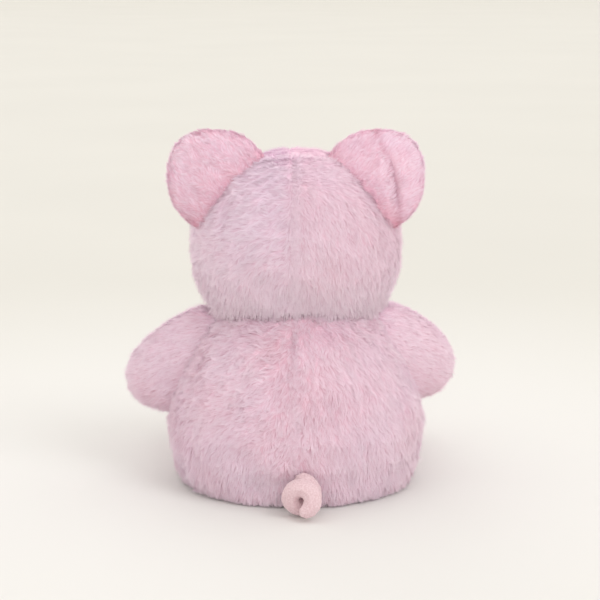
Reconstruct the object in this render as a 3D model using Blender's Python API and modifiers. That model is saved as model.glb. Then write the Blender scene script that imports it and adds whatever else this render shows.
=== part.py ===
"""A seated plush pig, sewn from separate fabric panels over separate fillings.

Metres, +Z up. The pig looks along -Y and its left side is +X. The origin is on the floor, under the
middle of the torso. Every panel is its stuffed form, cut at the seams and hollowed by the form inside it.
"""
import bmesh
import bpy
from math import atan2, cos, pi, radians, sin, sqrt
from mathutils import Matrix, Vector
from mathutils.bvhtree import BVHTree

# Fabric, seams and clearances
SKIN = 0.003
CLEARANCE = 0.0003
SEAM_GAP = 0.0005
OVERRUN = 0.4
WELD_DISTANCE = 0.00003

# Torso
BODY_WIDTH = 0.183
BODY_DEPTH = 0.160
BODY_WIDEST_HEIGHT = 0.046
BODY_RISE = 0.105
BODY_DROP = 0.080
SHOULDER_TAPER_SHARE = 0.27
SIDE_SEAM_FORWARD = 0.010
BASE_SEAM_HEIGHT = 0.006

# Pellet pouch
POUCH_WIDTH = 0.104
POUCH_DEPTH = 0.092
POUCH_HEIGHT = 0.022
POUCH_SINK = 0.003

# Head
HEAD_WIDTH = 0.141
HEAD_HEIGHT = 0.127
HEAD_BASE_HEIGHT = 0.1125
HEAD_CENTRE_HEIGHT = HEAD_BASE_HEIGHT + HEAD_HEIGHT / 2
HEAD_FORWARD = 0.008
CROWN_FULLNESS = 2.2
JOWL_FULLNESS = 2.8
FACE_SEAM_BACK = 0.020

# Neck
NECK_RADIUS = 0.036
NECK_DROP = 0.006
NECK_FLOOR_HEIGHT = HEAD_BASE_HEIGHT - NECK_DROP
NECK_THREAD_RADIUS = 0.001
NECK_THREAD_RISE = 0.004
HEAD_SWING_CLEARANCE = 0.0025
HEAD_SEAT_CLEARANCE = 0.0006

# Snout
SNOUT_WIDTH = 0.046
SNOUT_HEIGHT = 0.036
SNOUT_REACH = 0.016
SNOUT_ROOT = 0.022
SNOUT_BELOW_CENTRE = 0.010
SNOUT_SKIN = 0.002
SNOUT_FLARE_SHARE = 1.12
SNOUT_FULLNESS = 4.5
SNOUT_FRONT_DEPTH = 0.004
NOSTRIL_WIDTH = 0.0052
NOSTRIL_HEIGHT = 0.0085
NOSTRIL_THICKNESS = 0.0026
NOSTRIL_SPACING = 0.016

# Eyes
EYE_RADIUS = 0.0056
EYE_DOME = 0.0038
EYE_STEM_RADIUS = 0.0016
EYE_STEM_LENGTH = 0.0095
EYE_SPACING = 0.054
EYE_ABOVE_CENTRE = 0.010
WASHER_RADIUS = 0.0058
WASHER_THICKNESS = 0.0013
WASHER_DROP = 0.0014

# Ears
EAR_WIDTH = 0.072
EAR_LENGTH = 0.069
EAR_THICKNESS = 0.014
EAR_ROOT_SINK = 0.019
EAR_FULLNESS = 2.0
EAR_CUP = 0.007
EAR_ROOT_SIDE = 0.042
EAR_ROOT_RISE = 0.0345
EAR_ROOT_BACK = 0.024
EAR_LEAN = radians(45)
EAR_SWEEP = radians(14)

# Arms
ARM_LENGTH = 0.092
ARM_ROOT_HEIGHT = 0.084
ARM_ROOT_DEPTH = 0.056
ARM_TIP_HEIGHT = 0.046
ARM_TIP_DEPTH = 0.036
ARM_FULLNESS = 2.7
ARM_ROOT_SIDE = 0.038
ARM_ROOT_RISE = 0.098
ARM_ROOT_FORWARD = 0.010
ARM_SLOPE = radians(12)
ARM_REACH_FORWARD = {"left": radians(7), "right": radians(28)}
ARM_HINGE_SIDE = 0.050
ARM_HINGE_RISE = 0.124
ARM_DROOP = {"left": radians(10), "right": radians(7)}

# Legs
LEG_LENGTH = 0.098
LEG_ROOT_WIDTH = 0.052
LEG_FOOT_WIDTH = 0.061
LEG_FULLNESS = 3.6
LEG_ROOT_SIDE = 0.036
LEG_ROOT_FORWARD = 0.044
LEG_SPLAY = radians(16)
LEG_FLOOR_CLEARANCE = 0.0006
LEG_HINGE_REACH = 0.024
LEG_HINGE_ABOVE_AXIS = 0.022
SOLE_DEPTH = 0.007

# Tail
TAIL_TUBE_RADIUS = 0.0066
TAIL_COIL_RADIUS = 0.0076
TAIL_COIL_PITCH = 0.0142
TAIL_COIL_TURNS = 1.5
TAIL_NECK = 0.002
TAIL_BEND_RADIUS = 0.009
TAIL_SIDE = 0.004
TAIL_FLOOR_CLEARANCE = 0.0006
TAIL_ROOT_SHARES = (0.7, 0.7, 0.85)
TAIL_TIP_SHARES = (0.4, 0.75, 0.93)

# How far the jointed pieces turn, for the room that is cut for them
HEAD_TURN = radians(20)
HEAD_NOD = radians(12)
ARM_LIFT = radians(45)
LEG_LIFT = radians(40)
LEG_DROP = radians(12)
EAR_FLOP = radians(20)
TAIL_WAG = radians(20)

# Fineness of the forms
FORM_SEGMENTS = 16
FORM_RINGS = 8
LIMB_SEGMENTS = 12
LIMB_RINGS = 6
SMALL_SEGMENTS = 8
SMALL_RINGS = 4
TURNED_STEPS = 14
RING_STEPS = 28
RING_SIDES = 6
EYE_ARC_STEPS = 6
TAIL_STEP_SHARE = 0.5
SWEEP_STEP = radians(20)

BODY_CENTRE = Vector((0, 0, BODY_WIDEST_HEIGHT))
HEAD_CENTRE = Vector((0, -HEAD_FORWARD, HEAD_CENTRE_HEIGHT))
SIDES = {"left": 1, "right": -1}


def clear_scene():
    for item in list(bpy.data.objects):
        bpy.data.objects.remove(item, do_unlink=True)


def new_collection(name, parent=None):
    collection = bpy.data.collections.new(name)
    (parent or bpy.context.scene.collection).children.link(collection)
    return collection


def new_object(name, mesh, collection):
    item = bpy.data.objects.new(name, mesh)
    collection.objects.link(item)
    return item


def material(name, colour, roughness):
    finish = bpy.data.materials.new(name)
    finish.use_nodes = True
    shader = finish.node_tree.nodes["Principled BSDF"]
    shader.inputs["Base Color"].default_value = (*colour, 1)
    shader.inputs["Roughness"].default_value = roughness
    shader.inputs["Metallic"].default_value = 0
    return finish


def swell_share(segments, rings):
    """How much larger the cage is than the smooth form that it carries."""
    return 1 / (cos(pi / segments) * cos(pi / (2 * rings)))


def cage(name, place, matrix, segments, rings):
    """A sphere's grid, moved onto a form around its own middle and set in its place."""
    grid = bmesh.new()
    bmesh.ops.create_uvsphere(grid, u_segments=segments, v_segments=rings, radius=1)
    swell = swell_share(segments, rings)
    for vertex in grid.verts:
        vertex.co = matrix @ (place(vertex.co.normalized()) * swell)
    mesh = settled_mesh(name, grid)
    mesh.shade_smooth()
    return mesh


def settled_mesh(name, grid):
    """A mesh of the grid whose faces stand in the same order each time."""
    grid.verts.index_update()
    outlines = []
    for face in grid.faces:
        corners = [vertex.index for vertex in face.verts]
        first = corners.index(min(corners))
        outlines.append(corners[first:] + corners[:first])
    mesh = bpy.data.meshes.new(name)
    mesh.from_pydata([vertex.co.copy() for vertex in grid.verts], [], sorted(outlines))
    mesh.update()
    grid.free()
    return mesh


def form(name, mesh, grow=0.0, plain=False):
    """A smooth closed form on its cage, grown or shrunk along its normals, in flat facets."""
    item = new_object(name, mesh, CUTTERS)
    smooth = item.modifiers.new("Smooth", "SUBSURF")
    smooth.levels = 1
    smooth.render_levels = 1
    if grow:
        offset = item.modifiers.new("Offset", "DISPLACE")
        offset.strength = grow
        offset.mid_level = 0
    if plain:
        coarser = item.modifiers.new("Coarser", "DECIMATE")
        coarser.decimate_type = "UNSUBDIV"
        coarser.iterations = 2
    item.modifiers.new("Facets", "TRIANGULATE")
    hide(item)
    return item


def fill_form(name, mesh, skin):
    """The same form inside its skin, with the finer points of its surface taken out again."""
    return form(name, mesh, -skin - CLEARANCE, plain=True)


def hide(item):
    item.hide_render = True
    item.display_type = "WIRE"


def evaluated_mesh(item):
    bpy.context.view_layer.update()
    graph = bpy.context.evaluated_depsgraph_get()
    return bpy.data.meshes.new_from_object(item.evaluated_get(graph))


def block(name, low, high, matrix=Matrix.Identity(4)):
    """A box between two corners, used to cut a form at its seams."""
    cube = bmesh.new()
    bmesh.ops.create_cube(cube, size=1)
    low = Vector(low)
    high = Vector(high)
    for vertex in cube.verts:
        share = vertex.co + Vector((0.5, 0.5, 0.5))
        corner = Vector(a + (b - a) * s for a, b, s in zip(low, high, share))
        vertex.co = matrix @ corner
    item = new_object(name, settled_mesh(name, cube), CUTTERS)
    hide(item)
    return item


def rod(name, radius, low, high, matrix=Matrix.Identity(4)):
    """A cylinder along the local Z axis, used as a cutter."""
    drum = bmesh.new()
    middle = Matrix.Translation((0, 0, (low + high) / 2))
    bmesh.ops.create_cone(drum, cap_ends=True, segments=RING_STEPS, radius1=radius,
                          radius2=radius, depth=high - low, matrix=matrix @ middle)
    item = new_object(name, settled_mesh(name, drum), CUTTERS)
    hide(item)
    return item


def boolean(item, cutter, operation="DIFFERENCE", solver="EXACT"):
    cut = item.modifiers.new(operation.title(), "BOOLEAN")
    cut.solver = solver
    cut.operation = operation
    cut.object = cutter


def carve(item, room):
    """Cut a piece back from each place of the room, whose forms cross at shallow angles."""
    for cutter in room:
        boolean(item, cutter, solver="MANIFOLD")


def piece(name, mesh, finish, carrier=None):
    """One part of the toy, carried by the empty on its joint."""
    item = new_object(name, mesh, PARTS)
    item.data.materials.clear()
    item.data.materials.append(finish)
    if carrier:
        carry(item, carrier)
    return item


def carry(item, carrier):
    """Parent an item where it stands."""
    item.parent = carrier
    item.matrix_parent_inverse = carrier.matrix_world.inverted()
    bpy.context.view_layer.update()


def panel(name, stuffed, hollow, low, high, finish, carrier=None, matrix=Matrix.Identity(4)):
    """The stretch of a form's skin that lies inside a box between its seams."""
    item = piece(name, stuffed.copy(), finish, carrier)
    boolean(item, block(name + "_seams", low, high, matrix), "INTERSECT", "MANIFOLD")
    boolean(item, hollow, solver="MANIFOLD")
    return item


def pivot(name, place, carrier=None):
    """The empty at a joint, which the jointed pieces turn with."""
    empty = new_object(name, None, PARTS)
    empty.location = place
    bpy.context.view_layer.update()
    if carrier:
        carry(empty, carrier)
    return empty


def turned_about(point, axis, angle):
    point = Vector(point)
    spin = Matrix.Rotation(angle, 4, Vector(axis))
    return Matrix.Translation(point) @ spin @ Matrix.Translation(-point)


def sweep(name, still, point, axis, low, high):
    """The room of still neighbours, seen from a piece that turns about a joint from low to high."""
    steps = max(1, round((high - low) / SWEEP_STEP))
    angles = {low + (high - low) * step / steps for step in range(steps + 1)} | {0.0}
    room = []
    for index, angle in enumerate(sorted(angles, key=lambda turn: (-abs(turn), turn))):
        for mesh, grow in still:
            cutter = form(f"{name}_{mesh.name}_{index}", mesh, grow)
            cutter.matrix_world = turned_about(point, axis, -angle)
            room.append(cutter)
    return room


def torso_point(direction):
    """A pear: a low round belly that narrows towards the shoulders."""
    rise = direction.z
    narrow = 1 - SHOULDER_TAPER_SHARE * max(rise, 0)
    height = BODY_RISE if rise > 0 else BODY_DROP
    return Vector((direction.x * narrow * BODY_WIDTH / 2, direction.y * narrow * BODY_DEPTH / 2,
                   rise * height))


def head_point(direction):
    """A round form about the X axis, squarer at the jowls than at the crown."""
    across = Vector((0, direction.y, direction.z))
    reach = across.length
    down = -direction.z / reach if reach > 0 else 0
    middle = (CROWN_FULLNESS + JOWL_FULLNESS) / 2
    fullness = middle + down * (JOWL_FULLNESS - CROWN_FULLNESS) / 2
    scale = (abs(direction.x) ** fullness + reach ** fullness) ** (-1 / fullness)
    size = Vector((HEAD_WIDTH, HEAD_HEIGHT, HEAD_HEIGHT))
    return Vector(a * b for a, b in zip(direction, size)) * scale / 2


def limb_point(direction, length, root, tip, fullness):
    """A stuffed limb along local Z, from its root section to its tip section."""
    share = (direction.z + 1) / 2
    width = (1 - abs(direction.z) ** fullness) ** (1 / fullness)
    flat = Vector((direction.x, direction.y, 0))
    around = flat.normalized() if flat.length > 0 else flat
    half_height = (root[0] + (tip[0] - root[0]) * share) / 2
    half_depth = (root[1] + (tip[1] - root[1]) * share) / 2
    return Vector((around.x * half_height * width, around.y * half_depth * width,
                   direction.z * length / 2))


def ear_point(direction, layer):
    """One layer of an ear: local X runs along the root, Y out of the head and Z to the front."""
    outline = Vector((direction.x, direction.z))
    reach = outline.length
    scale = 1.0
    if reach > 0:
        unit = outline / reach
        scale = (abs(unit.x) ** EAR_FULLNESS + abs(unit.y) ** EAR_FULLNESS) ** (-1 / EAR_FULLNESS)
    across = direction.x * scale
    along = direction.z * scale
    cup = EAR_CUP * (across ** 2 + max(along, 0) ** 2)
    swell = max(-direction.y * layer, 0) * EAR_THICKNESS / 2
    return Vector((across * EAR_WIDTH / 2, along * EAR_LENGTH / 2, cup + layer * (SEAM_GAP / 2 + swell)))


def torso_mesh():
    return cage("torso", torso_point, Matrix.Translation(BODY_CENTRE), FORM_SEGMENTS, FORM_RINGS)


def head_mesh():
    """The cage's poles lie on the X axis, where nothing is cut."""
    sideways = Matrix.Rotation(pi / 2, 4, "Y")
    upright = sideways.inverted()
    return cage("head", lambda d: upright @ head_point(sideways @ d),
                Matrix.Translation(HEAD_CENTRE) @ sideways, FORM_SEGMENTS, FORM_RINGS)


def make_torso(torso, head):
    """Four skin panels, the fill and the pouch of pellets."""
    outer = form("torso_outer", torso)
    hollow = form("torso_hollow", torso, -SKIN)
    boolean(hollow, block("inner_floor", (-OVERRUN, -OVERRUN, -OVERRUN), (OVERRUN, OVERRUN, SKIN)))
    neck = neck_room(head)
    carve(outer, neck)
    stuffed = evaluated_mesh(outer)
    side = -SIDE_SEAM_FORWARD
    half = SEAM_GAP / 2
    over_base = BASE_SEAM_HEIGHT + half
    boxes = {
        "body_back_left": ((half, side + half, over_base), (OVERRUN, OVERRUN, OVERRUN)),
        "body_back_right": ((-OVERRUN, side + half, over_base), (-half, OVERRUN, OVERRUN)),
        "body_belly": ((-OVERRUN, -OVERRUN, over_base), (OVERRUN, side - half, OVERRUN)),
        "body_base": ((-OVERRUN, -OVERRUN, 0), (OVERRUN, OVERRUN, BASE_SEAM_HEIGHT - half)),
    }
    for name, (low, high) in boxes.items():
        panel(name, stuffed, hollow, low, high, FUR)

    filling = piece("body_filling", evaluated_mesh(fill_form("torso_fill", torso, SKIN)), FIBRE)
    floor = SKIN + CLEARANCE
    boolean(filling, block("fill_floor", (-OVERRUN, -OVERRUN, -OVERRUN), (OVERRUN, OVERRUN, floor)))
    carve(filling, neck)
    make_pouch(filling, floor)


def make_pouch(filling, floor):
    """A flat pouch of pellets on the base panel, in a pocket that is open below."""
    centre = Vector((0, 0, floor + POUCH_HEIGHT / 2 - POUCH_SINK))
    half_size = Vector((POUCH_WIDTH, POUCH_DEPTH, POUCH_HEIGHT)) / 2
    cushion = cage("pouch", lambda d: Vector(a * b for a, b in zip(d, half_size)),
                   Matrix.Translation(centre), SMALL_SEGMENTS, SMALL_RINGS)
    pouch = piece("bean_bag", evaluated_mesh(form("pouch_outer", cushion)), POUCH_CLOTH)
    boolean(pouch, block("pouch_floor", (-OVERRUN, -OVERRUN, -OVERRUN), (OVERRUN, OVERRUN, floor)))
    boolean(filling, form("pouch_pocket", cushion, CLEARANCE))


def neck_room(head):
    """What the torso gives way to: the head in all its turns, and the round neck below it."""
    room = sweep("head_swing_room", [(head, HEAD_SWING_CLEARANCE)], HEAD_CENTRE, Vector((0, 0, 1)),
                 -HEAD_TURN, HEAD_TURN)
    socket = rod("neck_socket", NECK_RADIUS + CLEARANCE, NECK_FLOOR_HEIGHT - CLEARANCE,
                 HEAD_CENTRE_HEIGHT, Matrix.Translation((0, -HEAD_FORWARD, 0)))
    return [*room, socket]


def make_neck(head, neck):
    """The fill of the neck, dished for the head, and the gathered thread round it."""
    axis = Matrix.Translation((0, -HEAD_FORWARD, 0))
    column = rod("neck_column", NECK_RADIUS, NECK_FLOOR_HEIGHT, HEAD_CENTRE_HEIGHT, axis)
    filling = piece("neck_filling", evaluated_mesh(column), FIBRE, neck)
    carve(filling, sweep("head_seat", [(head, HEAD_SEAT_CLEARANCE)], HEAD_CENTRE, Vector((1, 0, 0)),
                         -HEAD_NOD, HEAD_NOD))
    thread_ring = NECK_RADIUS - NECK_THREAD_RADIUS
    height = NECK_FLOOR_HEIGHT + NECK_THREAD_RISE
    groove = ring("neck_groove", thread_ring, NECK_THREAD_RADIUS + CLEARANCE, height, CUTTERS)
    hide(groove)
    boolean(filling, groove)
    thread = ring("neck_seam", thread_ring, NECK_THREAD_RADIUS, height, PARTS)
    thread.data.materials.append(THREAD)
    carry(thread, neck)


def ring(name, radius, tube_radius, height, collection):
    """A closed ring round the neck, turned from its round section."""
    mesh = bpy.data.meshes.new(name)
    section = bmesh.new()
    corners = []
    for index in range(RING_SIDES):
        angle = -2 * pi * index / RING_SIDES
        corners.append(section.verts.new((radius + tube_radius * cos(angle), 0, tube_radius * sin(angle))))
    for index, corner in enumerate(corners):
        section.edges.new((corner, corners[(index + 1) % RING_SIDES]))
    section.to_mesh(mesh)
    section.free()
    item = new_object(name, mesh, collection)
    item.location = (0, -HEAD_FORWARD, height)
    spin_profile(item, RING_STEPS)
    bpy.context.view_layer.update()
    return item


def spin_profile(item, steps=TURNED_STEPS):
    """Turn a profile about its local Z axis."""
    screw = item.modifiers.new("Turn", "SCREW")
    screw.steps = steps
    screw.render_steps = steps
    screw.use_merge_vertices = True
    screw.merge_threshold = WELD_DISTANCE
    screw.use_smooth_shade = True


def turned(name, profile, matrix, closed=False):
    """A solid turned from a profile whose outer side runs from its top to its bottom."""
    mesh = bpy.data.meshes.new(name)
    line = bmesh.new()
    corners = [line.verts.new((radius, 0, height)) for radius, height in profile]
    for first, second in zip(corners, corners[1:]):
        line.edges.new((first, second))
    if closed:
        line.edges.new((corners[-1], corners[0]))
    line.to_mesh(mesh)
    line.free()
    item = new_object(name, mesh, CUTTERS)
    spin_profile(item)
    solid = evaluated_mesh(item)
    bpy.data.objects.remove(item)
    solid.transform(matrix)
    return solid


def make_head(head, nod):
    """Two back panels, the face panel and the fill."""
    outer = evaluated_mesh(form("head_outer", head))
    hollow = form("head_hollow", head, -SKIN)
    seam = FACE_SEAM_BACK - HEAD_FORWARD
    half = SEAM_GAP / 2
    panel("head_back_left", outer, hollow, (half, seam + half, 0), (OVERRUN, OVERRUN, OVERRUN), FUR, nod)
    panel("head_back_right", outer, hollow, (-OVERRUN, seam + half, 0), (-half, OVERRUN, OVERRUN), FUR, nod)
    face = panel("head_face", outer, hollow, (-OVERRUN, -OVERRUN, 0), (OVERRUN, seam - half, OVERRUN),
                 FUR, nod)
    filling = piece("head_filling", evaluated_mesh(fill_form("head_fill", head, SKIN)), FIBRE, nod)
    surface = bmesh.new()
    surface.from_mesh(outer)
    front = BVHTree.FromBMesh(surface)
    surface.free()
    make_eyes(face, filling, front, nod)
    make_snout(head, front, nod)


def face_spot(front, side, rise):
    """The place on the face at a distance from its middle, and the way out of the surface there."""
    start = Vector((side, -OVERRUN, HEAD_CENTRE_HEIGHT + rise))
    place, outward, _, _ = front.ray_cast(start, Vector((0, 1, 0)))
    return place, outward


def facing(place, outward):
    """A frame whose local Z axis points outward."""
    return Matrix.Translation(place) @ outward.to_track_quat("Z", "Y").to_matrix().to_4x4()


def make_eyes(face, filling, front, nod):
    """Domed eyes whose stems pass through the face into lock washers."""
    turns = [pi / 2 * step / EYE_ARC_STEPS for step in range(EYE_ARC_STEPS + 1)]
    arc = [(EYE_RADIUS * sin(turn), EYE_DOME * cos(turn)) for turn in turns]
    stem = [(EYE_STEM_RADIUS, 0), (EYE_STEM_RADIUS, -EYE_STEM_LENGTH), (0, -EYE_STEM_LENGTH)]
    hole = EYE_STEM_RADIUS + CLEARANCE
    top = -SKIN - WASHER_DROP
    bottom = top - WASHER_THICKNESS
    washer = [(hole, top), (WASHER_RADIUS, top), (WASHER_RADIUS, bottom), (hole, bottom)]
    for side, sign in SIDES.items():
        place, outward = face_spot(front, sign * EYE_SPACING / 2, EYE_ABOVE_CENTRE)
        seat = facing(place + outward * CLEARANCE, outward)
        piece(side + "_eye", turned(side + "_eye", arc + stem, seat), GLOSS, nod)
        piece(side + "_eye_washer", turned(side + "_washer", washer, seat, closed=True), WASHER, nod)
        boolean(face, rod(side + "_eye_hole", hole, -EYE_STEM_LENGTH, EYE_DOME, seat))
        pocket_floor = -EYE_STEM_LENGTH - CLEARANCE
        boolean(filling, rod(side + "_eye_pocket", WASHER_RADIUS + CLEARANCE, pocket_floor, EYE_DOME, seat))


def make_snout(head, front, nod):
    """A velour band and disc over their own fill, with two embroidered nostrils."""
    place, _ = face_spot(front, 0, -SNOUT_BELOW_CENTRE)
    length = SNOUT_ROOT + SNOUT_REACH
    middle = place + Vector((0, SNOUT_ROOT - length / 2, 0))
    lying = Matrix.Translation(middle) @ Matrix.Rotation(pi / 2, 4, "X")
    root = (SNOUT_WIDTH * SNOUT_FLARE_SHARE, SNOUT_HEIGHT * SNOUT_FLARE_SHARE)
    tip = (SNOUT_WIDTH, SNOUT_HEIGHT)
    shape = cage("snout", lambda d: limb_point(d, length, root, tip, SNOUT_FULLNESS), lying,
                 LIMB_SEGMENTS, LIMB_RINGS)
    outer = form("snout_outer", shape)
    hollow = form("snout_hollow", shape, -SNOUT_SKIN)
    seat = form("snout_seat", head, CLEARANCE)
    boolean(outer, seat)
    outer = evaluated_mesh(outer)
    seam = length / 2 - SNOUT_FRONT_DEPTH
    half = SEAM_GAP / 2
    panel("snout_side", outer, hollow, (-OVERRUN, -OVERRUN, -OVERRUN), (OVERRUN, OVERRUN, seam - half),
          VELOUR, nod, lying)
    panel("snout_front", outer, hollow, (-OVERRUN, -OVERRUN, seam + half), (OVERRUN, OVERRUN, OVERRUN),
          VELOUR, nod, lying)
    filling = piece("snout_filling", evaluated_mesh(fill_form("snout_fill", shape, SNOUT_SKIN)),
                    FIBRE, nod)
    boolean(filling, seat)
    half_size = Vector((NOSTRIL_WIDTH, NOSTRIL_THICKNESS, NOSTRIL_HEIGHT)) / 2
    for side, sign in SIDES.items():
        tip_spot = middle + Vector((sign * NOSTRIL_SPACING / 2, -length / 2, 0))
        patch = cage(side + "_nostril", lambda d: Vector(a * b for a, b in zip(d, half_size)),
                     Matrix.Translation(tip_spot), SMALL_SEGMENTS, SMALL_RINGS)
        item = piece(side + "_nostril", evaluated_mesh(form(side + "_nostril_form", patch)), STITCHING, nod)
        boolean(item, form(side + "_nostril_seat", shape, CLEARANCE))


def ear_frame(sign):
    """The ear's own axes: along its root, out of the head, and out of its back face."""
    place = HEAD_CENTRE + Vector((sign * EAR_ROOT_SIDE, EAR_ROOT_BACK, EAR_ROOT_RISE))
    lean = Matrix.Rotation(sign * EAR_LEAN, 4, "Y")
    sweep_back = Matrix.Rotation(sign * EAR_SWEEP, 4, "Z")
    upright = Matrix.Rotation(pi / 2, 4, "X")
    return Matrix.Translation(place) @ lean @ sweep_back @ upright


def make_ear(side, sign, head, nod):
    """A fur back and a velour lining, sewn together at the rim."""
    frame = ear_frame(sign)
    middle = frame @ Matrix.Translation((0, EAR_LENGTH / 2 - EAR_ROOT_SINK, 0))
    root = frame.translation
    axis = frame.to_3x3() @ Vector((1, 0, 0))
    flop = pivot(side + "_ear_pivot", root, nod)
    room = sweep(side + "_ear_room", [(head, CLEARANCE)], root, axis, -EAR_FLOP, EAR_FLOP)
    for name, layer, finish in (("_ear_back", -1, FUR), ("_ear_lining", 1, VELOUR)):
        shape = cage(side + name, lambda d: ear_point(d, layer), middle, LIMB_SEGMENTS, LIMB_RINGS)
        item = piece(side + name, evaluated_mesh(form(side + name + "_form", shape)), finish, flop)
        carve(item, room)


def stuffed_limb(name, place, middle, room):
    """The limb's outside, cut to its root, the hollow inside its skin, and its fill."""
    shape = cage(name, place, middle, LIMB_SEGMENTS, LIMB_RINGS)
    outside = form(name + "_outer", shape)
    carve(outside, room)
    fill = fill_form(name + "_fill", shape, SKIN)
    carve(fill, room)
    return evaluated_mesh(outside), form(name + "_hollow", shape, -SKIN), evaluated_mesh(fill)


def make_arm(side, sign, torso, head):
    """Two fur panels, joined along the top and the underside, over their fill."""
    hinge = Vector((sign * ARM_HINGE_SIDE, -ARM_ROOT_FORWARD, ARM_HINGE_RISE))
    axis = Vector((0, -sign, 0))
    upright = Matrix(((0, 0, sign, 0), (0, -sign, 0, 0), (1, 0, 0, 0), (0, 0, 0, 1)))
    place = Matrix.Translation((sign * ARM_ROOT_SIDE, -ARM_ROOT_FORWARD, ARM_ROOT_RISE))
    forward = Matrix.Rotation(-sign * ARM_REACH_FORWARD[side], 4, "Z")
    down = Matrix.Rotation(sign * ARM_SLOPE, 4, "Y")
    droop = turned_about(hinge, axis, -ARM_DROOP[side])
    middle = droop @ place @ forward @ down @ upright @ Matrix.Translation((0, 0, ARM_LENGTH / 2))
    root = (ARM_ROOT_HEIGHT, ARM_ROOT_DEPTH)
    tip = (ARM_TIP_HEIGHT, ARM_TIP_DEPTH)
    lift = pivot(side + "_arm_pivot", hinge)
    room = sweep(side + "_arm_room", [(torso, CLEARANCE), (head, HEAD_SWING_CLEARANCE)], hinge, axis,
                 0, ARM_LIFT)
    outside, hollow, fill = stuffed_limb(
        side + "_arm", lambda d: limb_point(d, ARM_LENGTH, root, tip, ARM_FULLNESS), middle, room)
    half = SEAM_GAP / 2
    halves = {sign: ((-OVERRUN, half, -OVERRUN), (OVERRUN, OVERRUN, OVERRUN)),
              -sign: ((-OVERRUN, -OVERRUN, -OVERRUN), (OVERRUN, -half, OVERRUN))}
    panel(side + "_arm_front", outside, hollow, *halves[1], FUR, lift, middle)
    panel(side + "_arm_back", outside, hollow, *halves[-1], FUR, lift, middle)
    piece(side + "_arm_filling", fill, FIBRE, lift)


def make_leg(side, sign, torso):
    """A top and a bottom fur panel and a velour sole, over their fill."""
    height = LEG_FOOT_WIDTH / 2 + LEG_FLOOR_CLEARANCE
    splay = Matrix.Rotation(sign * LEG_SPLAY, 4, "Z")
    lying = Matrix(((0, -1, 0, 0), (0, 0, -1, 0), (1, 0, 0, 0), (0, 0, 0, 1)))
    place = Matrix.Translation((sign * LEG_ROOT_SIDE, -LEG_ROOT_FORWARD, height))
    frame = place @ splay @ lying
    hinge = frame @ Vector((LEG_HINGE_ABOVE_AXIS, 0, LEG_HINGE_REACH))
    axis = splay.to_3x3() @ Vector((-1, 0, 0))
    middle = frame @ Matrix.Translation((0, 0, LEG_LENGTH / 2))
    root = (LEG_ROOT_WIDTH, LEG_ROOT_WIDTH)
    foot = (LEG_FOOT_WIDTH, LEG_FOOT_WIDTH)
    swing = pivot(side + "_leg_pivot", hinge)
    room = sweep(side + "_leg_room", [(torso, CLEARANCE)], hinge, axis, -LEG_DROP, LEG_LIFT)
    outside, hollow, fill = stuffed_limb(
        side + "_leg", lambda d: limb_point(d, LEG_LENGTH, root, foot, LEG_FULLNESS), middle, room)
    half = SEAM_GAP / 2
    seam = LEG_LENGTH / 2 - SOLE_DEPTH
    boxes = {
        "_leg_top": ((half, -OVERRUN, -OVERRUN), (OVERRUN, OVERRUN, seam - half), FUR),
        "_leg_bottom": ((-OVERRUN, -OVERRUN, -OVERRUN), (-half, OVERRUN, seam - half), FUR),
        "_leg_sole": ((-OVERRUN, -OVERRUN, seam + half), (OVERRUN, OVERRUN, OVERRUN), VELOUR),
    }
    for name, (low, high, finish) in boxes.items():
        panel(side + name, outside, hollow, low, high, finish, swing, middle)
    piece(side + "_leg_filling", fill, FIBRE, swing)


def torso_back(height):
    """How far behind the middle the torso reaches at a height below its widest place."""
    share = (BODY_WIDEST_HEIGHT - height) / BODY_DROP
    return BODY_DEPTH / 2 * sqrt(1 - share ** 2)


def tail_path(root, start):
    """Straight out of the torso, round a bend and into a coil, in steps of equal length."""
    steepest = atan2(2 * pi * TAIL_COIL_RADIUS, TAIL_COIL_PITCH)
    step = TAIL_TUBE_RADIUS * TAIL_STEP_SHARE
    points = [start, root, root + Vector((0, TAIL_NECK, 0))]
    along = 0.0
    turn = 0.0
    back = points[-1].y
    while turn < TAIL_COIL_TURNS * 2 * pi:
        along += step
        slope = min(along / TAIL_BEND_RADIUS, steepest)
        turn += sin(slope) * step / TAIL_COIL_RADIUS
        back += cos(slope) * step
        side = -TAIL_COIL_RADIUS * sin(turn)
        drop = TAIL_COIL_RADIUS * (1 - cos(turn))
        points.append(Vector((root.x + side, back, root.z - drop)))
    return points


def make_tail(torso):
    """A curled tube of velour with a rounded tip."""
    height = TAIL_FLOOR_CLEARANCE + TAIL_TUBE_RADIUS + 2 * TAIL_COIL_RADIUS
    root = Vector((-TAIL_SIDE, torso_back(height), height))
    points = tail_path(root, root - Vector((0, TAIL_NECK, 0)))
    curve = bpy.data.curves.new("tail_path", "CURVE")
    curve.dimensions = "3D"
    curve.bevel_depth = TAIL_TUBE_RADIUS
    curve.bevel_resolution = 2
    curve.use_fill_caps = True
    spline = curve.splines.new("POLY")
    spline.points.add(len(points) - 1)
    for index, (spot, point) in enumerate(zip(spline.points, points)):
        spot.co = (*point, 1)
        left = len(points) - 1 - index
        spot.radius = TAIL_TIP_SHARES[left] if left < len(TAIL_TIP_SHARES) else 1
    for index, share in enumerate(TAIL_ROOT_SHARES):
        spline.points[index].radius = share
    tube = new_object("tail_tube", curve, CUTTERS)
    mesh = evaluated_mesh(tube)
    bpy.data.objects.remove(tube)
    axis = Vector((0, 0, 1))
    wag = pivot("tail_pivot", root)
    item = piece("tail", weld(mesh), VELOUR, wag)
    carve(item, sweep("tail_room", [(torso, CLEARANCE)], root, axis, -TAIL_WAG, TAIL_WAG))


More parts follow.
